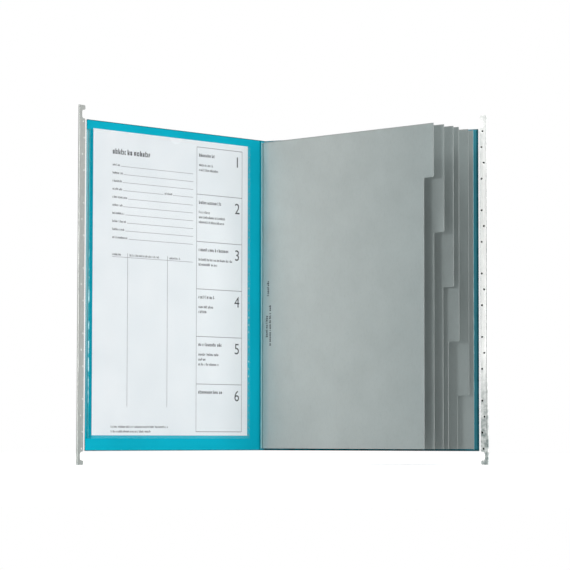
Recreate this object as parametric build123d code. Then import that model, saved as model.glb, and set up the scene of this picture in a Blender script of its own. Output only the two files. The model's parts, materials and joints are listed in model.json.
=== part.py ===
from build123d import *
import os
from math import cos, radians, sin

# Hanging file folder for A4 papers, standing open like a book.
# Lengths are millimetres, angles are degrees.
# Plan angles run from +X towards the reader, who looks along +Y.

# Form sheet and its place on the front cover
FORM_WIDTH = 210.0
FORM_HEIGHT = 297.0
PAPER = 0.12
FORM_TO_CREASE = 19.0
FORM_TO_FREE_EDGE = 8.0
FORM_BELOW = 15.0
FORM_ABOVE = 8.0

# Covers and spine
BOARD = 0.9
SPINE_WIDTH = 8.0
CREASE_PLAY = 0.1

# Clear film: hems and pocket
HEM = 0.3
HEM_LAP = 8.0
HEM_BARE = 2.0
FILM = 0.2
FORM_PLAY = 0.05
FORM_SIDE_PLAY = 0.5
WELD = 3.0
POCKET_EDGE = 1.0
POCKET_DROP = 1.0
THUMB_WIDTH = 17.0
THUMB_DEPTH = 5.5
THUMB_TO_CREASE = 120.0

# Rails: folded sheet with a rolled bead along the outer edge
RAIL_SHEET = 0.5
RAIL_LEG = 6.0
BEAD_RADIUS = 1.0
HOOK_OVERHANG = 13.4
HOOK_HEAD = 4.4
SHOULDER = 0.6
NOTCH_DEPTH = 4.0
NOTCH_RADIUS = 2.2
RAIL_CORNER = 1.4
DENT_RADIUS = 1.1
DENT_DEPTH = 0.4
DENT_GROUP_PITCH = 63.0
INNER_DENTS = 1.4
OUTER_DENTS = 3.7
END_DENT_BELOW_NOTCH = 3.0

# Dividers and the strip that binds them
CARD = 0.4
CARD_PLAY = 0.1
DIVIDER_SETBACK = 1.5
DIVIDER_MARGIN = 2.0
TAB_DEPTH = 12.5
TAB_RADIUS = 1.5
STRIP = 0.3
STRIP_EDGE = 0.3

# Standing pose: each divider's angle is counted from what lies behind it
BACK_ANGLE = 26.0
SPINE_FROM_BACK = 10.0
COVERS_APART = 108.5
DIVIDER_STEPS = (3.8, 3.8, 2.3, 4.8, 2.7, 1.2)

# Sizes that follow from the ones above
COVER_WIDTH = FORM_TO_CREASE + FORM_WIDTH + FORM_TO_FREE_EDGE
COVER_HEIGHT = FORM_BELOW + FORM_HEIGHT + FORM_ABOVE
RAIL_EDGE = COVER_WIDTH + HEM_BARE
BEAD_CENTRE = RAIL_EDGE + RAIL_LEG + BEAD_RADIUS
BEAD_BORE = BEAD_RADIUS - RAIL_SHEET
RAIL_BOTTOM = -HOOK_OVERHANG
RAIL_TOP = COVER_HEIGHT + HOOK_OVERHANG
HEM_PLANE = -BOARD / 2 - HEM / 2
FACE = BOARD / 2
DIVIDER_COUNT = len(DIVIDER_STEPS)
DIVIDER_PITCH = CARD + CARD_PLAY
DIVIDER_HEIGHT = COVER_HEIGHT - 2 * DIVIDER_MARGIN
BLOCK_RADIUS = DIVIDER_PITCH * (DIVIDER_COUNT - 1) / 2 + CARD / 2
BINDING_AXIS = BOARD / 2 + STRIP + CARD_PLAY + BLOCK_RADIUS
DIVIDER_WIDTH = COVER_WIDTH - DIVIDER_SETBACK - BINDING_AXIS


def block(x_range, y_range, z_range):
    """Box between two limits on each axis."""
    ranges = (x_range, y_range, z_range)
    size = [high - low for low, high in ranges]
    middle = [(high + low) / 2 for low, high in ranges]
    return Pos(*middle) * Box(*size)


def upright_rod(x, z, radius, y_range):
    """Cylinder along the height of a panel."""
    low, high = y_range
    return Pos(x, (low + high) / 2, z) * Rot(90, 0, 0) * Cylinder(radius, high - low)


def panel_frame(angle, root):
    """Frame of a panel: X away from the spine, Y up, Z towards the front cover."""
    turn = radians(angle)
    return Plane(origin=root, x_dir=(cos(turn), -sin(turn), 0), z_dir=(-sin(turn), -cos(turn), 0))


def cover():
    """Cover panel with a rounded root on the crease; the inner face is at +Z."""
    height = (0, COVER_HEIGHT)
    board = block((0, COVER_WIDTH), height, (-BOARD / 2, BOARD / 2))
    return board + upright_rod(0, 0, BOARD / 2, height)


def spine():
    """Strip between the creases, square to the way the dividers point."""
    half_width = SPINE_WIDTH / 2 - BOARD / 2 - CREASE_PLAY
    return block((-BOARD / 2, BOARD / 2), (0, COVER_HEIGHT), (-half_width, half_width))


def binding_strip():
    """Strip glued inside the spine, with a low lip behind the last divider's inner edge."""
    half_width = SPINE_WIDTH / 2 - BOARD / 2 - CREASE_PLAY - STRIP_EDGE
    height = (DIVIDER_MARGIN, COVER_HEIGHT - DIVIDER_MARGIN)
    base = block((BOARD / 2, BOARD / 2 + STRIP), height, (-half_width, half_width))
    lip_face = -BLOCK_RADIUS - CARD_PLAY
    lip = block((BOARD / 2, BINDING_AXIS), height, (lip_face - STRIP, lip_face))
    return base + lip


def dent_places():
    """Centres of the crimp dents: threes in a V up the rail, and one by each hook."""
    places = []
    groups = int(COVER_HEIGHT // DENT_GROUP_PITCH)
    for number in range(groups):
        middle = COVER_HEIGHT / 2 + (number - (groups - 1) / 2) * DENT_GROUP_PITCH
        places.append((RAIL_EDGE + INNER_DENTS, middle - DENT_GROUP_PITCH / 4))
        places.append((RAIL_EDGE + OUTER_DENTS, middle))
        places.append((RAIL_EDGE + INNER_DENTS, middle + DENT_GROUP_PITCH / 4))
    end = RAIL_EDGE + (INNER_DENTS + OUTER_DENTS) / 2
    inset = END_DENT_BELOW_NOTCH - SHOULDER
    return places + [(end, inset), (end, COVER_HEIGHT - inset)]


def arc_radius(half_width, depth):
    """Radius of the circle whose arc has this half width and depth."""
    return (half_width ** 2 + depth ** 2) / (2 * depth)


def dents(face):
    """Balls that press the crimp dents into a rail face."""
    radius = arc_radius(DENT_RADIUS, DENT_DEPTH)
    return [Pos(x, y, face - DENT_DEPTH + radius) * Sphere(radius) for x, y in dent_places()]


def rail_outline():
    """Flat outline of the folded legs, notched near both ends to leave the hooks."""
    neck = RAIL_EDGE + NOTCH_DEPTH
    lower = [RAIL_BOTTOM, RAIL_BOTTOM + HOOK_HEAD, -SHOULDER]
    upper = [COVER_HEIGHT + SHOULDER, RAIL_TOP - HOOK_HEAD, RAIL_TOP]
    inner_edge = [(RAIL_EDGE, lower[0]), (RAIL_EDGE, lower[1]), (neck, lower[1]), (neck, lower[2])]
    inner_edge += [(RAIL_EDGE, lower[2]), (RAIL_EDGE, upper[0]), (neck, upper[0]), (neck, upper[1])]
    inner_edge += [(RAIL_EDGE, upper[1]), (RAIL_EDGE, upper[2])]
    corners = [(BEAD_CENTRE, RAIL_BOTTOM)] + inner_edge + [(BEAD_CENTRE, RAIL_TOP)]
    outline = make_face(Polyline(*corners, close=True))
    outline = fillet(outline.vertices().group_by(Axis.X)[0], RAIL_CORNER)
    notch_corners = outline.vertices().group_by(Axis.X)[-2]
    return fillet(notch_corners, NOTCH_RADIUS)


def rail():
    """Folded rail: two legs on the hem, a rolled bead, hooks at both ends, crimps in the inner leg."""
    length = (RAIL_BOTTOM, RAIL_TOP)
    half_pack = RAIL_SHEET + HEM / 2
    legs = Pos(0, 0, HEM_PLANE) * extrude(rail_outline(), amount=half_pack, both=True)
    bead = upright_rod(BEAD_CENTRE, HEM_PLANE, BEAD_RADIUS, length)
    slit = block((RAIL_EDGE, BEAD_CENTRE), length, (HEM_PLANE - HEM / 2, HEM_PLANE + HEM / 2))
    bore = upright_rod(BEAD_CENTRE, HEM_PLANE, BEAD_BORE, length)
    return legs + bead - slit - bore - dents(HEM_PLANE + half_pack)


def hem():
    """Film strip lapped on the cover's outer face and held in the rail."""
    across = (COVER_WIDTH - HEM_LAP, BEAD_CENTRE - BEAD_BORE)
    return block(across, (0, COVER_HEIGHT), (HEM_PLANE - HEM / 2, HEM_PLANE + HEM / 2))


def form():
    """Loose sheet behind the pocket film, standing on the bottom weld."""
    across = (FORM_TO_CREASE, FORM_TO_CREASE + FORM_WIDTH)
    height = (FORM_BELOW, FORM_BELOW + FORM_HEIGHT)
    return block(across, height, (FACE + FORM_PLAY, FACE + FORM_PLAY + PAPER))


def pocket():
    """Film welded to the cover on three sides, open at the top with a thumb notch."""
    room = PAPER + 2 * FORM_PLAY
    top = FORM_BELOW + FORM_HEIGHT - POCKET_DROP
    cavity_near = FORM_TO_CREASE - FORM_SIDE_PLAY
    cavity_far = FORM_TO_CREASE + FORM_WIDTH + FORM_SIDE_PLAY
    film_across = (cavity_near - WELD, COVER_WIDTH - POCKET_EDGE)
    film = block(film_across, (FORM_BELOW - WELD, top), (FACE, FACE + room + FILM))
    cavity = block((cavity_near, cavity_far), (FORM_BELOW, top), (FACE, FACE + room))
    thumb_radius = arc_radius(THUMB_WIDTH / 2, THUMB_DEPTH)
    thumb_height = top - THUMB_DEPTH + thumb_radius
    thumb = Pos(THUMB_TO_CREASE, thumb_height, FACE) * Cylinder(thumb_radius, 4 * (room + FILM))
    return film - cavity - thumb


def divider(number):
    """Card leaf whose free edge is cut back below its own index step."""
    bottom = DIVIDER_MARGIN
    top = DIVIDER_MARGIN + DIVIDER_HEIGHT
    step = top - number * DIVIDER_HEIGHT / DIVIDER_COUNT
    offset = ((DIVIDER_COUNT + 1) / 2 - number) * DIVIDER_PITCH
    leaf = block((0, DIVIDER_WIDTH), (bottom, top), (offset - CARD / 2, offset + CARD / 2))
    if number < DIVIDER_COUNT:
        cut_edge = DIVIDER_WIDTH - TAB_DEPTH
        leaf -= block((cut_edge, DIVIDER_WIDTH), (bottom, step), (offset - CARD, offset + CARD))
        step_corners = leaf.edges().filter_by(Axis.Z).group_by(Axis.Y)[1]
        leaf = fillet(step_corners, TAB_RADIUS)
    return leaf + upright_rod(0, offset, CARD / 2, (bottom, top))


# Place every piece in the standing pose
spine_frame = panel_frame(BACK_ANGLE + SPINE_FROM_BACK, (0, 0, 0))
front_crease = spine_frame.from_local_coords(Vector(0, 0, SPINE_WIDTH / 2))
back_crease = spine_frame.from_local_coords(Vector(0, 0, -SPINE_WIDTH / 2))
binding_axis = spine_frame.from_local_coords(Vector(BINDING_AXIS, 0, 0))
front_frame = panel_frame(BACK_ANGLE + COVERS_APART, front_crease)
back_frame = panel_frame(BACK_ANGLE, back_crease)

pieces = {
    "spine": spine_frame * spine(),
    "binding_strip": spine_frame * binding_strip(),
    "pocket": front_frame * mirror(pocket(), about=Plane.XY),
    "form": front_frame * mirror(form(), about=Plane.XY),
}
for part_name, build_piece in (("cover", cover), ("rail", rail), ("hem", hem)):
    pieces[f"front_{part_name}"] = front_frame * mirror(build_piece(), about=Plane.XY)
    pieces[f"back_{part_name}"] = back_frame * build_piece()

divider_angle = BACK_ANGLE
for number in range(DIVIDER_COUNT, 0, -1):
    divider_angle += DIVIDER_STEPS[number - 1]
    pieces[f"divider_{number}"] = panel_frame(divider_angle, binding_axis) * divider(number)

# Stand the folder on its hooks, with the footprint centred on the origin
outer_box = Compound(list(pieces.values())).bounding_box()
middle = outer_box.center()
stand = Pos(-middle.X, -middle.Y, -outer_box.min.Z)

os.makedirs("parts", exist_ok=True)
for node, piece in pieces.items():
    export_step(stand * piece, f"parts/{node}.step")
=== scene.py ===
import json
import math
import random

import bmesh
import bpy
from mathutils import Matrix, Vector


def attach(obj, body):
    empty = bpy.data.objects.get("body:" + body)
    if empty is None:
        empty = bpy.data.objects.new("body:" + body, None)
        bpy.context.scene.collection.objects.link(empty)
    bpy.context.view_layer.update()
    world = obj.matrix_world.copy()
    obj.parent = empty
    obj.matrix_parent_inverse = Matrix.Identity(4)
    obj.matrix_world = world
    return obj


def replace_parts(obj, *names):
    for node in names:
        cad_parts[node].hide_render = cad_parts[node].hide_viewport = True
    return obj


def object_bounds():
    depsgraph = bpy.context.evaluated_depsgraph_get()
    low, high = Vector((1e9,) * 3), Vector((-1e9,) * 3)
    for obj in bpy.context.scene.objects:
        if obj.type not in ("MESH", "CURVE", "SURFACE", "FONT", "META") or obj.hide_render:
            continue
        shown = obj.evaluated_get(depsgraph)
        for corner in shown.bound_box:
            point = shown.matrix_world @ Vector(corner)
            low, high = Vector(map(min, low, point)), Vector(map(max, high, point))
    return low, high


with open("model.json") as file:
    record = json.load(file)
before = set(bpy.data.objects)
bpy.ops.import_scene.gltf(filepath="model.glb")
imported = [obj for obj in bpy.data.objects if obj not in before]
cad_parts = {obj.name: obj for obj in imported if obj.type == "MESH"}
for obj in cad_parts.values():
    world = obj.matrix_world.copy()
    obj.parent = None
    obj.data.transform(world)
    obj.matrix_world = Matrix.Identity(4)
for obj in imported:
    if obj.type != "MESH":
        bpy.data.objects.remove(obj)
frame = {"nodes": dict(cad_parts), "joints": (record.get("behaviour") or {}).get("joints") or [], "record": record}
cad_low, cad_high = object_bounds()

MM = 0.001
UP = Vector((0, 0, 1))

# Camera: a long lens, low in front of the folder and tipped up a little
LENS = 155.4
EYE = Vector((-0.96, -2448.97, 26.4)) * MM
PITCH = math.radians(3.55)
ROLL = math.radians(0.09)

# Light levels: at level 1 a white surface that faces the lamp renders white
AMBIENT = 0.2
OVERHEAD_LEVEL = 0.67
SIDE_LEVEL = 0.09
FILL_LEVEL = 0.6
RAIL_LEVEL = 0.15
BEHIND_LEVEL = 0.4
LAMP_DISTANCE = 2.6
FLOOR_DIFFUSE = 0.5
FLOOR_OWN = 0.7
FLOOR_HALF = 1.5

# Colours as they render in plain light, linear
TEAL = (0.001, 0.455, 0.61, 1)
TEAL_DEEP = (0.001, 0.42, 0.565, 1)
# TEAL_EDGE is the dark teal of the cut edges, and is also laid in rims along the covers' and spine's edges as
# painted shade.
TEAL_EDGE = (0.003, 0.06, 0.075, 1)
# CREASE_SHADE: painted shade in the crease where each cover meets the spine.
CREASE_SHADE = (0.001, 0.27, 0.35, 1)
# Painted sheen of the pocket film along the front cover's free edge.
FRONT_PAINTED_SHEEN = (0.25, 0.55, 0.62, 1)
# Painted shade, with a little painted film sheen, along the back cover's free edge beside the last divider.
BACK_PAINTED_SHADE_SHEEN = (0.06, 0.31, 0.39, 1)
PAPER = (0.885, 0.92, 0.945, 1)
PAPER_SHADE = (0.82, 0.865, 0.895, 1)
# From the root to the free edge a leaf fades from CARD to the next colour: painted bounce light near the root and
# painted shade towards the free edge.
CARD = (0.565, 0.6, 0.58, 1)
CARD_FREE_EDGE_SHADE = (0.385, 0.44, 0.435, 1)
# Painted teal bounce light from the cover on the card next to its root.
CARD_ROOT_BOUNCE = (0.4, 0.57, 0.59, 1)
CARD_FLECK = (0.3, 0.33, 0.32, 1)
CARD_EDGE = (0.45, 0.475, 0.465, 1)
# Darker rim along the top of each card: painted shade.
CARD_TOP = (0.38, 0.4, 0.395, 1)
# The same zinc in two tones: lighter on the back rail as a painted highlight, darker on the front rail as painted
# shade.
ZINC_PAINTED_LIGHT = (0.92, 0.925, 0.905, 1)
ZINC_PAINTED_SHADE = (0.37, 0.38, 0.365, 1)
# Darker mottle at the rails' ends: a painted reflection near the foot and painted shade near the tip.
ZINC_END_SHADE = (0.14, 0.18, 0.175, 1)
# Painted shade in the back rail's dents; the next colour is a painted glint in the front rail's dents.
DENT_PAINTED_SHADE = (0.01, 0.011, 0.011, 1)
DENT_GLINT = (0.5, 0.51, 0.495, 1)
TAPE = (0.38, 0.68, 0.72, 1)
TAPE_SHADE = (0.32, 0.6, 0.64, 1)
FILM = (0.9, 0.95, 0.96, 1)
# Darker tint of the pocket film's weld band: a painted dark reflection.
FILM_PAINTED_DARK = (0.002, 0.13, 0.17, 1)
# The lighter weld colours are painted glints.
WELD_PAINTED_GLINT = (0.55, 0.95, 0.98, 1)
WELD_SHADE = (0.03, 0.42, 0.49, 1)
# Back weld colours, both paler than the board: painted highlight along the ridge, and painted glints in the
# lighter one.
BACK_WELD_PAINTED_GLINT = (0.3, 0.62, 0.68, 1)
BACK_WELD_SHADE = (0.12, 0.38, 0.45, 1)
INK = (0.008, 0.008, 0.012, 1)
INK_WORN = (0.03, 0.03, 0.038, 1)
INK_GREY = (0.2, 0.2, 0.23, 1)
INK_GREY_WORN = (0.28, 0.28, 0.31, 1)


class Panel:
    """Flat panel at rest: u from its root to the free edge, v up from the covers' foot, w off its face."""

    def __init__(self, root, along, out):
        self.root = root
        self.along = along
        self.out = out

    def point(self, u, v, w):
        return self.root + self.along * u + UP * v + self.out * w

    def span(self, node):
        """Lowest and highest u, v and w of a node."""
        places = [vertex.co - self.root for vertex in frame["nodes"][node].data.vertices]
        ranges = []
        for axis in (self.along, UP, self.out):
            values = [place.dot(axis) for place in places]
            ranges.append((min(values), max(values)))
        return ranges


def cover_panel(joint_name, mount_name, turn):
    """Panel of a cover, from its fold and its lower hook."""
    joint = next(joint for joint in frame["joints"] if joint["name"] == joint_name)
    mount = next(mount for mount in frame["record"]["mounts"] if mount["name"] == mount_name)
    along = -Vector(mount["axis"])
    return Panel(Vector(joint["pos_m"]), along, turn * UP.cross(along))


def leaf_panel(node):
    """Panel of a divider, from its turning axis and its large face on the reader's side."""
    joint = next(joint for joint in frame["joints"] if joint["child"] == node)
    faces = [polygon for polygon in frame["nodes"][node].data.polygons if polygon.normal.y < 0]
    out = max(faces, key=lambda polygon: polygon.area).normal.copy()
    return Panel(Vector(joint["pos_m"]), UP.cross(out), out)


front = cover_panel("front_cover_fold", "front_hook_bottom", 1)
back = cover_panel("back_cover_fold", "back_hook_bottom", -1)
DIVIDERS = [name for name in sorted(frame["nodes"]) if name.startswith("divider_")]
leaves = {name: leaf_panel(name) for name in DIVIDERS}


# Node trees

class Graph:
    """Short calls that build one material's nodes around its shader."""

    def __init__(self, name):
        self.material = bpy.data.materials.new(name)
        self.material.use_nodes = True
        self.tree = self.material.node_tree
        self.shader = self.tree.nodes["Principled BSDF"]
        place = self.tree.nodes.new("ShaderNodeTexCoord")
        self.place = place.outputs["Object"]
        self.normal = place.outputs["Normal"]

    def add(self, kind, inputs=None, **settings):
        node = self.tree.nodes.new(kind)
        for key, value in settings.items():
            setattr(node, key, value)
        for key, value in (inputs or {}).items():
            self.feed(node.inputs[key], value)
        return node

    def feed(self, socket, value):
        if isinstance(value, bpy.types.NodeSocket):
            self.tree.links.new(value, socket)
        else:
            socket.default_value = value

    def set(self, **values):
        for key, value in values.items():
            self.feed(self.shader.inputs[key.replace("_", " ")], value)

    def math(self, operation, first, second=0.0):
        node = self.add("ShaderNodeMath", {0: first, 1: second}, operation=operation)
        return node.outputs[0]

    def scaled(self, colour, factor):
        node = self.add("ShaderNodeVectorMath", {0: colour, "Scale": factor}, operation="SCALE")
        return node.outputs[0]

    def stretched(self, scale):
        """Place in metres, with each axis multiplied."""
        return self.add("ShaderNodeMapping", {"Vector": self.place, "Scale": scale}).outputs[0]

    def noise(self, scale, detail=3.0, vector=None):
        inputs = {"Vector": vector or self.place, "Scale": scale, "Detail": detail}
        return self.add("ShaderNodeTexNoise", inputs).outputs["Fac"]

    def cells(self, scale):
        inputs = {"Vector": self.place, "Scale": scale}
        return self.add("ShaderNodeTexVoronoi", inputs).outputs["Color"]

    def ramp(self, value, low, high, to_low=0.0, to_high=1.0):
        """Value mapped from low..high, held at the ends."""
        inputs = {"Value": value, "From Min": low, "From Max": high, "To Min": to_low, "To Max": to_high}
        return self.add("ShaderNodeMapRange", inputs).outputs[0]

    def mix(self, share, first, second):
        node = self.add("ShaderNodeMix", {0: share, 6: first, 7: second}, data_type="RGBA")
        return node.outputs[2]

    def along(self, axis, start=0.0, vector=None):
        """Distance of the shaded point along an axis."""
        node = self.add("ShaderNodeVectorMath", {0: vector or self.place, 1: axis}, operation="DOT_PRODUCT")
        return self.math("SUBTRACT", node.outputs["Value"], start)

    def facing(self, axis):
        """How squarely the surface faces an axis, either way."""
        return self.math("ABSOLUTE", self.along(axis, 0.0, self.normal))

    def near(self, axis, at, width):
        """1 beside a plane across an axis, fading out at a width."""
        return self.ramp(self.math("ABSOLUTE", self.along(axis, at)), width, 0.5 * width)

    def either(self, *masks):
        result = masks[0]
        for mask in masks[1:]:
            result = self.math("MAXIMUM", result, mask)
        return result

    def both(self, *masks):
        result = masks[0]
        for mask in masks[1:]:
            result = self.math("MULTIPLY", result, mask)
        return result

    def bump(self, height, depth, strength=1.0):
        inputs = {"Height": height, "Distance": depth, "Strength": strength}
        self.feed(self.shader.inputs["Normal"], self.add("ShaderNodeBump", inputs).outputs[0])


# Materials

# Width of the painted shade in the crease.
CREASE_WIDTH = 2.4 * MM
# Widths of the darker rims along board edges, which are painted shade.
END_RIM = 0.9 * MM
BACK_RIM = 2.3 * MM
BACK_FOOT_RIM = 2.6 * MM
# Painted light bands on the covers: their widths, and the heights over which they fade in at their lowest and
# highest places.
FRONT_SHEEN_WIDTH = 3.6 * MM
BACK_SHADE_SHEEN_WIDTH = 8.0 * MM
PAINTED_BAND_FADE_LOW = 110.0 * MM
PAINTED_BAND_FADE_HIGH = 2.0 * MM
# Heights between which the weld's painted glints show.
WELD_LIT_ABOVE = (215.0 * MM, 160.0 * MM)
WELD_LIT_BELOW = (40.0 * MM, 90.0 * MM)
BEAD_WIDTH = 2.1 * MM
RAIL_SHEET = 0.5 * MM
DENT_RIM = (0.04 * MM, 0.12 * MM)
DENT_FLOOR = (0.47 * MM, 0.43 * MM)
# Reach of the painted shade at the rail's tip.
TIP_SHADE_REACH = 40.0 * MM
# Reach of the painted teal bounce light at a card's root.
ROOT_TINT = 9.0 * MM
CARD_TOP_RIM = 1.6 * MM


def board_colour(graph, face_normal):
    """Teal in soft patches with a fine grain, dark at the cut edges; returns the colour and the grain."""
    patches = graph.ramp(graph.noise(14.0, 4.0), 0.35, 0.65)
    grain = graph.noise(2600.0, 2.0)
    colour = graph.mix(patches, TEAL, TEAL_DEEP)
    colour = graph.mix(graph.ramp(grain, 0.55, 0.8, 0.0, 0.25), colour, TEAL_DEEP)
    return graph.mix(graph.ramp(graph.facing(face_normal), 0.75, 0.35), colour, TEAL_EDGE), grain


def board_material(name, face_normal, rims, haze=()):
    """Coated teal board, satin, with darker rims along its edges and bands at the crease and free edge, all
    painted light: the rims are painted shade, the bands painted shade and painted film sheen.

    A rim is an axis, a place along it and a width.
    A haze is one such painted band: it also has its lowest and highest place and its colour.
    """
    graph = Graph(name)
    colour, grain = board_colour(graph, face_normal)
    height = graph.along(UP)
    # Each band lays painted light into the colour: painted shade in the crease, painted film sheen and shade
    # beside the free edge.
    for axis, at, width, low, high, tone in haze:
        share = graph.both(
            graph.near(axis, at, width),
            graph.ramp(height, low, low + PAINTED_BAND_FADE_LOW),
            graph.ramp(height, high, high - PAINTED_BAND_FADE_HIGH),
        )
        colour = graph.mix(share, colour, tone)
    # The rims are painted shade along the edges, a little uneven.
    rim = graph.either(*[graph.near(axis, at, width) for axis, at, width in rims])
    uneven = graph.ramp(graph.noise(180.0, 3.0), 0.3, 0.7, 0.7, 0.95)
    colour = graph.mix(graph.math("MULTIPLY", rim, uneven), colour, TEAL_EDGE)
    graph.set(Base_Color=colour, Roughness=graph.ramp(grain, 0.3, 0.7, 0.42, 0.52), Specular_IOR_Level=0.05)
    graph.bump(grain, 0.03 * MM, 0.5)
    return graph.material


def cover_edges(panel, node):
    """Free edge, crease, foot and top of a cover, each as an axis and a place along it."""
    (_, free), (foot, top), _ = panel.span(node)
    start = panel.root.dot(panel.along)
    return (
        (panel.along, start + free),
        (panel.along, start),
        (UP, panel.root.z + foot),
        (UP, panel.root.z + top),
    )


def film_material(name, colour, haze):
    """Soft film with a slight wave; haze is how much of what lies behind it is hidden."""
    graph = Graph(name)
    waves = graph.noise(45.0, 2.0)
    graph.set(Base_Color=graph.mix(waves, colour, FILM), Roughness=graph.ramp(waves, 0.3, 0.7, 0.1, 0.2))
    graph.set(Alpha=haze)
    graph.bump(waves, 0.6 * MM, 0.4)
    return graph.material


def pocket_material(weld_at):
    """Clear pane, with a darker, less clear band along the free edge where the film is welded down; its darker
    tint is a painted dark reflection.
    """
    graph = Graph("pocket_film")
    waves = graph.noise(60.0, 2.0)
    weld = graph.ramp(graph.along(front.along, front.root.dot(front.along)), weld_at, weld_at + 0.5 * MM)
    graph.set(
        # The weld band's darker colour is a painted dark reflection.
        Base_Color=graph.mix(weld, FILM, FILM_PAINTED_DARK),
        Roughness=graph.ramp(waves, 0.3, 0.7, 0.08, 0.2),
        Alpha=graph.ramp(weld, 0.0, 1.0, 0.03, 0.12),
        Specular_IOR_Level=0.12,
    )
    graph.bump(waves, 0.6 * MM, 0.4)
    return graph.material


def weld_material(name, shade, light):
    """Pressed weld line: short glossy waves, with lighter dashes half-way up that are painted glints."""
    graph = Graph(name)
    waves = graph.noise(130.0, 3.0, graph.stretched((1.0, 1.0, 0.8)))
    height = graph.along(UP)
    # Painted glints: lighter dashes on the weld's colour between two heights.
    lit = graph.both(
        graph.ramp(height, *WELD_LIT_ABOVE),
        graph.ramp(height, *WELD_LIT_BELOW),
        graph.ramp(waves, 0.48, 0.58),
    )
    graph.set(
        Base_Color=graph.mix(lit, shade, light),
        Roughness=graph.ramp(waves, 0.3, 0.7, 0.3, 0.12),
        Specular_IOR_Level=0.25,
    )
    graph.bump(waves, 0.8 * MM, 0.6)
    return graph.material


def paper_material():
    """White printing paper with a faint fibre."""
    graph = Graph("form_paper")
    fibre = graph.noise(900.0, 5.0)
    cloud = graph.noise(22.0, 3.0)
    colour = graph.mix(graph.ramp(cloud, 0.3, 0.7), PAPER, PAPER_SHADE)
    colour = graph.mix(graph.ramp(fibre, 0.55, 0.75, 0.0, 0.35), colour, PAPER_SHADE)
    graph.set(Base_Color=colour, Roughness=graph.ramp(fibre, 0.3, 0.7, 0.75, 0.9), Specular_IOR_Level=0.2)
    graph.bump(fibre, 0.02 * MM, 0.4)
    return graph.material


def card_material(name, leaf, width, top):
    """Grey card with painted light: lighter near the root and darker, cooler towards the free edge as painted
    shade, painted teal bounce light at the root and a darker top rim as painted shade; soft clouds, short fibres,
    flecks and a paler cut edge.
    """
    graph = Graph(name)
    reach = graph.along(leaf.along, leaf.root.dot(leaf.along))
    cloud = graph.ramp(graph.noise(30.0, 4.0), 0.3, 0.7, 1.0, 0.92)
    fibre = graph.noise(520.0, 5.0, graph.stretched((1.0, 1.0, 0.45)))
    flecks = graph.ramp(graph.noise(1500.0, 1.0), 0.68, 0.78, 0.0, 0.5)
    # Painted light across the leaf: lighter near the root, painted shade towards the free edge.
    colour = graph.mix(graph.ramp(reach, 0.0, width), CARD, CARD_FREE_EDGE_SHADE)
    # Painted teal bounce light next to the root.
    colour = graph.mix(graph.ramp(reach, ROOT_TINT, 0.0, 0.0, 0.7), colour, CARD_ROOT_BOUNCE)
    colour = graph.scaled(colour, graph.math("MULTIPLY", cloud, graph.ramp(fibre, 0.5, 0.75, 1.0, 0.96)))
    colour = graph.mix(flecks, colour, CARD_FLECK)
    # Painted shade along the top rim.
    colour = graph.mix(graph.math("MULTIPLY", graph.near(UP, top, CARD_TOP_RIM), 0.6), colour, CARD_TOP)
    colour = graph.mix(graph.ramp(graph.facing(leaf.out), 0.75, 0.35), colour, CARD_EDGE)
    graph.set(Base_Color=colour, Roughness=graph.ramp(fibre, 0.3, 0.7, 0.7, 0.88), Specular_IOR_Level=0.2)
    graph.bump(fibre, 0.05 * MM, 0.5)
    return graph.material


def zinc_material(side, panel, tone, metallic, foot_shade_reach, end_shade_share, dent_tone):
    """Zinc-plated sheet: crystal patches, drawn lines, and painted light: darker mottled ends, a painted
    reflection near the foot and painted shade near the tip, and a given painted tone in the dents.
    """
    graph = Graph(f"{side}_zinc")
    (_, free), (_, tip), _ = panel.span(f"{side}_rail")
    bead_at = free - BEAD_WIDTH
    tip_at = panel.root.z + tip
    face_at = panel.span(f"{side}_hem")[2][1] + RAIL_SHEET
    crystals = graph.add("ShaderNodeSeparateColor", {"Color": graph.cells(300.0)}).outputs[0]
    drawn = graph.noise(900.0, 3.0, graph.stretched((1.0, 1.0, 0.03)))
    patches = graph.ramp(crystals, 0.0, 1.0, 1.0, 0.94)
    colour = graph.scaled(tone[:3], graph.math("MULTIPLY", patches, graph.ramp(drawn, 0.4, 0.8, 1.0, 0.9)))
    height = graph.along(UP)
    # Painted reflection darkening towards the foot and painted shade at the tip, mottled.
    low = graph.ramp(height, foot_shade_reach, 0.3 * foot_shade_reach)
    high = graph.ramp(height, tip_at - TIP_SHADE_REACH, tip_at - 0.3 * TIP_SHADE_REACH, 0.0, 0.4)
    mottle = graph.ramp(graph.noise(260.0, 5.0), 0.35, 0.62, 0.5 * end_shade_share, end_shade_share)
    end_shade = graph.math("MULTIPLY", graph.either(low, high), mottle)
    colour = graph.mix(end_shade, colour, ZINC_END_SHADE)
    depth = graph.math("SUBTRACT", face_at, graph.along(panel.out, panel.root.dot(panel.out)))
    reach = graph.along(panel.along, panel.root.dot(panel.along))
    dent = graph.both(
        graph.ramp(depth, *DENT_RIM),
        graph.ramp(depth, *DENT_FLOOR),
        graph.ramp(graph.facing(panel.out), 0.35, 0.5),
        graph.ramp(reach, bead_at, bead_at - 0.2 * MM),
    )
    # The dents take the given dent tone, which is painted light: painted shade on the back rail, painted glints on
    # the front rail.
    graph.set(
        Base_Color=graph.mix(dent, colour, dent_tone),
        Metallic=metallic,
        Roughness=graph.ramp(drawn, 0.3, 0.7, 0.36, 0.5),
    )
    graph.bump(drawn, 0.04 * MM, 0.4)
    return graph.material


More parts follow.
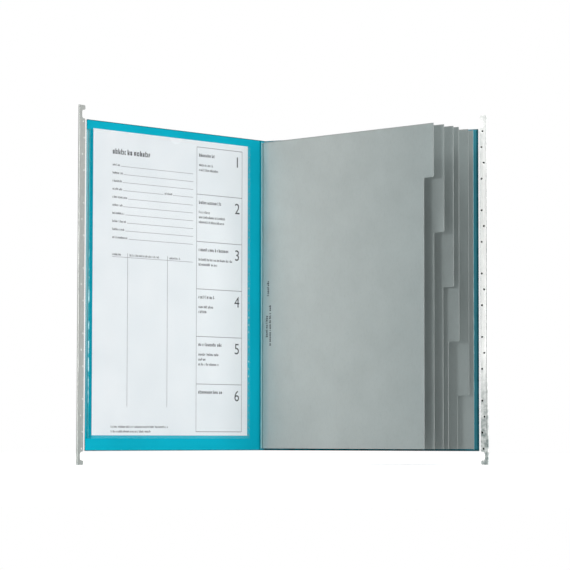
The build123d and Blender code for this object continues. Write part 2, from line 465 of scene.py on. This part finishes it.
def tape_material():
    """Grey-blue woven paper tape."""
    graph = Graph("binding_tape")
    threads = {"Vector": graph.place, "Scale": 700.0}
    across = graph.add("ShaderNodeTexWave", threads, bands_direction="Z").outputs["Fac"]
    cloud = graph.noise(160.0, 3.0)
    weave = graph.math("MULTIPLY", across, cloud)
    graph.set(Base_Color=graph.mix(weave, TAPE, TAPE_SHADE), Roughness=graph.ramp(weave, 0, 1, 0.7, 0.9))
    graph.bump(weave, 0.05 * MM, 0.6)
    return graph.material


def ink_material(name, full, worn):
    """Printing ink, a little uneven where the paper took less."""
    graph = Graph(name)
    spots = graph.noise(2500.0, 2.0)
    graph.set(Base_Color=graph.mix(spots, full, worn), Roughness=graph.ramp(spots, 0.3, 0.7, 0.5, 0.7))
    return graph.material


def dress(node, material):
    """Gives a CAD node its finish."""
    for slot in frame["nodes"][node].material_slots:
        slot.material = material


def new_piece(name, mesh, material, body):
    """Links a mesh as a piece that rides on a body."""
    mesh.materials.clear()
    mesh.materials.append(material)
    piece = bpy.data.objects.new(name, mesh)
    bpy.context.scene.collection.objects.link(piece)
    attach(piece, body)
    return piece


def piece_from(builder, name, material, body):
    """Turns a finished bmesh into a piece."""
    mesh = bpy.data.meshes.new(name)
    builder.to_mesh(mesh)
    builder.free()
    return new_piece(name, mesh, material, body)


# Finishes of the CAD nodes

spine_normal = (front.root - back.root).normalized().cross(UP)
# Darker rims at the spine's ends: painted shade.
dress("spine", board_material("spine_board", spine_normal, [
    (UP, cad_low.z + front.root.z, END_RIM),
    (UP, cad_high.z - front.root.z, END_RIM),
]))
front_free, front_crease, front_foot, front_top = cover_edges(front, "front_cover")
back_free, back_crease, back_foot, back_top = cover_edges(back, "back_cover")
pocket_span = [front.root.z + height for height in front.span("pocket")[1]]
full_span = (cad_low.z - PAINTED_BAND_FADE_LOW, cad_high.z + PAINTED_BAND_FADE_HIGH)
dress("front_cover", board_material(
    "front_board",
    front.out,
    # Darker rims at the foot and top: painted shade.
    [(*front_foot, END_RIM), (*front_top, END_RIM)],
    [
        # Painted film sheen by the free edge and painted shade in the crease.
        (*front_free, FRONT_SHEEN_WIDTH, *pocket_span, FRONT_PAINTED_SHEEN),
        (*front_crease, CREASE_WIDTH, *full_span, CREASE_SHADE),
    ],
))
dress("back_cover", board_material(
    "back_board",
    back.out,
    # Darker rims at the free edge, foot and top: painted shade.
    [(*back_free, BACK_RIM), (*back_foot, BACK_FOOT_RIM), (*back_top, END_RIM)],
    [
        # Painted shade and film sheen by the free edge, painted shade in the crease.
        (*back_free, BACK_SHADE_SHEEN_WIDTH, *full_span, BACK_PAINTED_SHADE_SHEEN),
        (*back_crease, CREASE_WIDTH, *full_span, CREASE_SHADE),
    ],
))
# Front rail: the darker zinc tone, painted shade, with painted glints in its dents.
dress("front_rail", zinc_material(
    "front", front, ZINC_PAINTED_SHADE, metallic=0.85, foot_shade_reach=60 * MM, end_shade_share=0.35, dent_tone=DENT_GLINT,
))
# Back rail: the lighter zinc tone, a painted highlight, with painted shade in its dents.
dress("back_rail", zinc_material(
    "back", back, ZINC_PAINTED_LIGHT, metallic=0.8, foot_shade_reach=115 * MM, end_shade_share=0.9, dent_tone=DENT_PAINTED_SHADE,
))
dress("form", paper_material())
dress("binding_strip", tape_material())

for name, leaf in leaves.items():
    (_, width), (_, top), _ = leaf.span(name)
    dress(name, card_material(f"{name}_card", leaf, width, leaf.root.z + top))


# Clear films, each with a hair of air between it and the board so that the board shows through it

FILM_LIFT = 0.03 * MM


def clear_sheet(node, panel, contact, lift, material, body):
    """Copy of a film node with the face that lies on the board moved off it."""
    mesh = frame["nodes"][node].data.copy()
    for vertex in mesh.vertices:
        if abs((vertex.co - panel.root).dot(panel.out) - contact) < 0.2 * abs(lift):
            vertex.co += panel.out * lift
    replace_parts(new_piece(f"{node}_film", mesh, material, body), node)


FORM_U, FORM_V, FORM_W = front.span("form")
front_face = front.span("front_cover")[2][1]
clear_sheet("pocket", front, front_face, FILM_LIFT, pocket_material(FORM_U[1]), "front_cover")
for side, panel in (("front", front), ("back", back)):
    outer_face = panel.span(f"{side}_hem")[2][1]
    hem_film = film_material(f"{side}_hem_film", FILM, 0.12)
    clear_sheet(f"{side}_hem", panel, outer_face, -FILM_LIFT, hem_film, f"{side}_cover")


# Welds: a pressed line beside each free edge, and pressed spots down the pocket's inner weld

FRONT_WELD_FROM_EDGE = 3.2
BACK_WELD_FROM_EDGE = 5.3
WELD_HALF = 0.6
WELD_HEIGHT = 0.22
WELD_STEP = 2.0
SPOT_RADIUS = 0.9
SPOT_HEIGHT = 0.12
SPOT_PITCH = 7.5
SPOT_SIDES = 12


def join_rings(builder, rings):
    """Skins each ring of points to the next and closes both ends."""
    for lower, upper in zip(rings, rings[1:]):
        for index in range(len(lower)):
            after = (index + 1) % len(lower)
            builder.faces.new((lower[index], lower[after], upper[after], upper[index]))
    builder.faces.new(rings[0])
    builder.faces.new(rings[-1])


def weld_line(name, panel, u, w, v_low, v_high, body, material):
    """Low rounded line up a panel, a little uneven in width and height."""
    builder = bmesh.new()
    dice = random.Random(name)
    steps = round((v_high - v_low) / (WELD_STEP * MM))
    arc = [math.pi * index / 8 for index in range(9)]
    rings = []
    for step in range(steps + 1):
        v = v_low + (v_high - v_low) * step / steps
        swell = dice.uniform(0.8, 1.2)
        ring = []
        for angle in arc:
            across = u + WELD_HALF * swell * math.cos(angle) * MM
            lift = w + WELD_HEIGHT * swell * math.sin(angle) * MM
            ring.append(builder.verts.new(panel.point(across, v, lift)))
        rings.append(ring)
    join_rings(builder, rings)
    bmesh.ops.recalc_face_normals(builder, faces=builder.faces)
    for face in builder.faces:
        face.smooth = len(face.verts) == 4
    return piece_from(builder, name, material, body)


def weld_spots(name, places, material):
    """Low round buttons on the pocket film."""
    builder = bmesh.new()
    for u, v, w in places:
        rings = []
        for radius, lift in ((SPOT_RADIUS, 0.0), (SPOT_RADIUS * 0.85, 0.7), (SPOT_RADIUS * 0.45, 1.0)):
            ring = []
            for index in range(SPOT_SIDES):
                angle = 2 * math.pi * index / SPOT_SIDES
                point = front.point(
                    u + radius * math.cos(angle) * MM,
                    v + radius * math.sin(angle) * MM,
                    w + SPOT_HEIGHT * lift * MM,
                )
                ring.append(builder.verts.new(point))
            rings.append(ring)
        join_rings(builder, rings)
    bmesh.ops.recalc_face_normals(builder, faces=builder.faces)
    return piece_from(builder, name, material, "front_cover")


POCKET_U, POCKET_V, POCKET_W = front.span("pocket")
COVER_EDGE = front.span("front_cover")[0][1]
front_weld_at = COVER_EDGE - FRONT_WELD_FROM_EDGE * MM
# Pocket weld with painted glints.
pocket_weld = weld_material("pocket_weld", WELD_SHADE, WELD_PAINTED_GLINT)
weld_line("front_weld", front, front_weld_at, POCKET_W[1], *POCKET_V, "front_cover", pocket_weld)
BACK_U, BACK_V, BACK_W = back.span("back_cover")
back_weld_ends = (BACK_V[0] + MM, BACK_V[1] - MM)
back_weld_at = BACK_U[1] - BACK_WELD_FROM_EDGE * MM
# Back weld and pocket spots: paler as painted highlight, with painted glints.
board_weld = weld_material("board_weld", BACK_WELD_SHADE, BACK_WELD_PAINTED_GLINT)
weld_line("back_weld", back, back_weld_at, BACK_W[1], *back_weld_ends, "back_cover", board_weld)
spot_column = (POCKET_U[0] + FORM_U[0]) / 2
spot_count = int((POCKET_V[1] - POCKET_V[0]) / (SPOT_PITCH * MM))
weld_spots("pocket_spots", [
    (spot_column, POCKET_V[0] + (index + 0.5) * SPOT_PITCH * MM, POCKET_W[1]) for index in range(spot_count)
], board_weld)


# Print, in millimetres right and down from a starting point as it is read

INK_DEPTH = 0.02


class Print:
    """Raised ink on a sheet, gathered in one mesh."""

    def __init__(self, start, right, down):
        self.mesh = bmesh.new()
        self.start = start
        self.right = right
        self.down = down
        self.out = down.cross(right)

    def place(self, x, y, w):
        return self.start + (self.right * x + self.down * y + self.out * w) * MM

    def bar(self, x_low, y_low, x_high, y_high):
        """Flat-topped bar of ink."""
        corners = [(x_low, y_high), (x_high, y_high), (x_high, y_low), (x_low, y_low)]
        base = [self.mesh.verts.new(self.place(x, y, 0)) for x, y in corners]
        top = [self.mesh.verts.new(self.place(x, y, INK_DEPTH)) for x, y in corners]
        self.mesh.faces.new(top)
        self.mesh.faces.new(base[::-1])
        for index in range(4):
            after = (index + 1) % 4
            self.mesh.faces.new((base[index], base[after], top[after], top[index]))

    def level_rule(self, x_low, x_high, y, width):
        self.bar(x_low, y - width / 2, x_high, y + width / 2)

    def upright_rule(self, x, y_low, y_high, width):
        self.bar(x - width / 2, y_low, x + width / 2, y_high)

    def mock_text(self, dice, x, y, length, height, stem):
        """A line of blind text: upright strokes joined by short level bars, no letters."""
        reach = x + length
        thin = 0.7 * stem
        while x < reach:
            word_end = min(reach, x + height * dice.uniform(4.0, 11.0))
            while x < word_end:
                far = x + height * dice.uniform(0.6, 0.95)
                tall = 1.4 if dice.random() < 0.35 else 1.0
                self.bar(x, y - height * tall, x + stem, y)
                if dice.random() < 0.7:
                    self.bar(far - stem, y - height, far, y)
                for share in dice.sample((0.0, 0.45, 1.0), 2):
                    level = share * (height - thin)
                    self.bar(x + stem, y - level - thin, far - stem, y - level)
                x = far + height * 0.25
            x += height * 0.4

    def finish(self, name, material, body):
        return piece_from(self.mesh, name, material, body)


TEXT_LEFT = 25.0
HEADING_LEVEL = 22.6
HEADING_LENGTH = 48.5
RULE_RIGHT = 133.0
RULE_AFTER_LABEL = 1.5
ROW_TOP = 34.2
ROW_PITCH = 7.9
ROW_LABELS = (9.0, 13.0, 11.5, 12.5, 19.0, 12.5, 15.5, 17.5, 15.5, 20.0)
SPLIT_ROW = 3
SPLIT_RULE_END = 92.5
SPLIT_LABEL_LEFT = 94.0
SPLIT_LABEL_LENGTH = 9.0
SPLIT_RULE_START = 105.5
TABLE_TOP = 123.3
TABLE_FOOT = 269.0
TABLE_UPRIGHTS = (45.2, 98.2)
UPRIGHTS_ABOVE_TABLE = 4.3
COLUMN_HEADS = ((TEXT_LEFT, 10.5), (47.8, 38.0), (101.0, 13.5))
HEADS_ABOVE_TABLE = 1.3
FOOTNOTE_LEFT = 24.5
FOOTNOTES = ((289.6, 75.0), (294.2, 52.0))
BOX_LEFT = 138.0
BOX_RIGHT = 201.8
BOX_TOP = 6.4
BOX_PITCH = 47.8
BOX_TEXT_IN = 3.0
BOX_TITLE_DOWN = 9.6
BOX_LINE_DOWN = 19.2
BOX_LINE_PITCH = 5.0
BOX_TITLES = (22.0, 30.0, 42.5, 22.5, 33.0, 32.0)
BOX_LINES = ((20.0, 25.0), (13.5, 36.5, 35.5), (46.5, 26.0), (20.5, 11.0), (28.0, 9.5, 27.5), ())
RULE = 0.4
BOX_RULE = 0.6
UPRIGHT_RULE = 0.5
# Height and stroke of each kind of text
SMALL = (1.6, 0.42)
LINE = (1.9, 0.52)
BOLD = (2.4, 0.71)
HEADING = (3.8, 1.12)
FORM_CORNER = front.point(FORM_U[1], FORM_V[1], FORM_W[1])

rules = Print(FORM_CORNER, -front.along, -UP)
text = Print(FORM_CORNER, -front.along, -UP)
dice = random.Random(7)

text.mock_text(dice, TEXT_LEFT, HEADING_LEVEL, HEADING_LENGTH, *HEADING)
for row, label in enumerate(ROW_LABELS):
    level = ROW_TOP + row * ROW_PITCH
    rule_left = TEXT_LEFT + label + RULE_AFTER_LABEL
    text.mock_text(dice, TEXT_LEFT, level, label, *SMALL)
    if row == SPLIT_ROW:
        rules.level_rule(rule_left, SPLIT_RULE_END, level, RULE)
        text.mock_text(dice, SPLIT_LABEL_LEFT, level, SPLIT_LABEL_LENGTH, *SMALL)
        rules.level_rule(SPLIT_RULE_START, RULE_RIGHT, level, RULE)
    else:
        rules.level_rule(rule_left, RULE_RIGHT, level, RULE)
rules.level_rule(TEXT_LEFT, RULE_RIGHT, TABLE_TOP, RULE)
for x in TABLE_UPRIGHTS:
    rules.upright_rule(x, TABLE_TOP - UPRIGHTS_ABOVE_TABLE, TABLE_FOOT, UPRIGHT_RULE)
for x, length in COLUMN_HEADS:
    text.mock_text(dice, x, TABLE_TOP - HEADS_ABOVE_TABLE, length, *SMALL)
for level, length in FOOTNOTES:
    text.mock_text(dice, FOOTNOTE_LEFT, level, length, *SMALL)

for row in range(len(BOX_TITLES) + 1):
    rules.level_rule(BOX_LEFT, BOX_RIGHT, BOX_TOP + row * BOX_PITCH, BOX_RULE)
for x in (BOX_LEFT, BOX_RIGHT):
    rules.upright_rule(x, BOX_TOP, BOX_TOP + len(BOX_TITLES) * BOX_PITCH, UPRIGHT_RULE)
for row, (title, lines) in enumerate(zip(BOX_TITLES, BOX_LINES)):
    top = BOX_TOP + row * BOX_PITCH
    text.mock_text(dice, BOX_LEFT + BOX_TEXT_IN, top + BOX_TITLE_DOWN, title, *BOLD)
    for index, length in enumerate(lines):
        level = top + BOX_LINE_DOWN + index * BOX_LINE_PITCH
        text.mock_text(dice, BOX_LEFT + BOX_TEXT_IN, level, length, *LINE)

ink = ink_material("ink_black", INK, INK_WORN)
rules.finish("form_rules", ink_material("ink_grey", INK_GREY, INK_GREY_WORN), "form")
text.finish("form_text", ink, "form")


DIGIT_HEIGHT = 11.2
DIGIT_FROM_RIGHT = 6.8
DIGIT_DOWN = 12.0
FONT_SIZE_PER_HEIGHT = 1.38


def digit(number, x, y):
    """One box number, centred on a point of the form."""
    curve = bpy.data.curves.new(f"form_digit_{number}", "FONT")
    curve.body = str(number)
    curve.size = DIGIT_HEIGHT * FONT_SIZE_PER_HEIGHT * MM
    curve.extrude = INK_DEPTH / 2 * MM
    curve.align_x = "CENTER"
    curve.align_y = "CENTER"
    source = bpy.data.objects.new(curve.name, curve)
    bpy.context.scene.collection.objects.link(source)
    bpy.context.view_layer.update()
    mesh = bpy.data.meshes.new_from_object(source.evaluated_get(bpy.context.evaluated_depsgraph_get()))
    bpy.data.objects.remove(source)
    place = front.point(FORM_U[1] - x * MM, FORM_V[1] - y * MM, FORM_W[1] + INK_DEPTH / 2 * MM)
    axes = Matrix((-front.along, UP, front.out)).transposed().to_4x4()
    mesh.transform(Matrix.Translation(place) @ axes)
    new_piece(f"form_digit_{number}", mesh, ink, "form")


for row in range(len(BOX_TITLES)):
    digit(row + 1, BOX_RIGHT - DIGIT_FROM_RIGHT, BOX_TOP + row * BOX_PITCH + DIGIT_DOWN)

# Three short lines of blind text up the first leaf, beside its root: distance from the root, foot and length
LEAF_LINES = ((8.4, 158.5, 14.5), (6.6, 116.2, 22.0), (11.3, 107.4, 40.0))
LEAF_TEXT = (2.1, 0.62)
first_leaf = leaves["divider_1"]
first_face = first_leaf.span("divider_1")[2][1]
leaf_text = Print(first_leaf.point(0, 0, first_face), UP, first_leaf.along)
for from_root, foot, length in LEAF_LINES:
    leaf_text.mock_text(dice, foot, from_root, length, *LEAF_TEXT)
leaf_text.finish("leaf_text", ink, "divider_1")


# Stage, light and camera

def stage_material():
    """White floor that keeps a soft shadow; part of its white is its own for the camera and reflections."""
    graph = Graph("floor_white")
    speckle = graph.noise(3.0, 2.0)
    dull = (FLOOR_DIFFUSE, FLOOR_DIFFUSE, FLOOR_DIFFUSE, 1)
    light = (FLOOR_DIFFUSE + 0.01, FLOOR_DIFFUSE + 0.01, FLOOR_DIFFUSE + 0.01, 1)
    path = graph.add("ShaderNodeLightPath").outputs
    seen = graph.either(path["Is Camera Ray"], path["Is Glossy Ray"], path["Is Transmission Ray"])
    graph.set(
        Base_Color=graph.mix(speckle, dull, light),
        Roughness=1.0,
        Specular_IOR_Level=0.0,
        Emission_Color=(1, 1, 1, 1),
        Emission_Strength=graph.math("MULTIPLY", seen, FLOOR_OWN),
    )
    return graph.material


def make_floor(half):
    mesh = bpy.data.meshes.new("floor")
    corners = [(-half, -half, 0), (half, -half, 0), (half, half, 0), (-half, half, 0)]
    mesh.from_pydata(corners, [], [(0, 1, 2, 3)])
    mesh.materials.append(stage_material())
    floor = bpy.data.objects.new("floor", mesh)
    bpy.context.scene.collection.objects.link(floor)


def make_world():
    """White where it is seen, weak plain light where it only lights."""
    world = bpy.data.worlds.new("studio")
    bpy.context.scene.world = world
    world.use_nodes = True
    tree = world.node_tree

    path = tree.nodes.new("ShaderNodeLightPath").outputs
    seen = path["Is Camera Ray"]
    for kind in ("Is Glossy Ray", "Is Transmission Ray"):
        either = tree.nodes.new("ShaderNodeMath")
        either.operation = "MAXIMUM"
        tree.links.new(seen, either.inputs[0])
        tree.links.new(path[kind], either.inputs[1])
        seen = either.outputs[0]
    strength = tree.nodes.new("ShaderNodeMapRange")
    strength.inputs["To Min"].default_value = AMBIENT
    tree.links.new(seen, strength.inputs["Value"])
    sky = tree.nodes["Background"]
    sky.inputs["Color"].default_value = (1, 1, 1, 1)
    tree.links.new(strength.outputs[0], sky.inputs["Strength"])


def make_lamp(name, turn, rise, width, height, level):
    """Soft lamp aimed at the folder; turn is from the viewer's side towards their right, in degrees."""
    turn = math.radians(turn)
    rise = math.radians(rise)
    middle = (cad_low + cad_high) / 2
    back_to = Vector((math.sin(turn) * math.cos(rise), -math.cos(turn) * math.cos(rise), math.sin(rise)))
    light = bpy.data.lights.new(name, "AREA")
    light.shape = "RECTANGLE"
    light.size = width
    light.size_y = height
    light.energy = level * math.pi ** 2 * LAMP_DISTANCE ** 2
    lamp = bpy.data.objects.new(name, light)
    lamp.location = middle + back_to * LAMP_DISTANCE
    lamp.rotation_euler = (-back_to).to_track_quat("-Z", "Y").to_euler()
    bpy.context.scene.collection.objects.link(lamp)
    return lamp


def make_camera():
    data = bpy.data.cameras.new("camera")
    data.lens = LENS
    data.sensor_width = 36.0
    data.clip_end = 100.0
    camera = bpy.data.objects.new("camera", data)
    tilt = Matrix.Rotation(math.pi / 2 + PITCH, 4, "X") @ Matrix.Rotation(ROLL, 4, "Z")
    camera.matrix_world = Matrix.Translation(EYE) @ tilt
    bpy.context.scene.collection.objects.link(camera)
    bpy.context.scene.camera = camera


make_floor(FLOOR_HALF)
make_world()
make_lamp("overhead", -60.0, 74.0, 1.0, 1.0, OVERHEAD_LEVEL)
side_lamp = make_lamp("side", -68.0, 5.0, 1.8, 0.4, SIDE_LEVEL)
side_lamp.visible_glossy = False
make_lamp("fill", 43.0, 5.0, 1.8, 0.4, FILL_LEVEL)
make_lamp("rail", -30.0, 3.0, 0.4, 0.4, RAIL_LEVEL)
make_lamp("behind_left", -140.0, 35.0, 1.0, 1.0, BEHIND_LEVEL)
make_lamp("behind_right", 140.0, 35.0, 1.0, 1.0, BEHIND_LEVEL)
make_camera()
bpy.context.scene.view_settings.view_transform = "Standard"
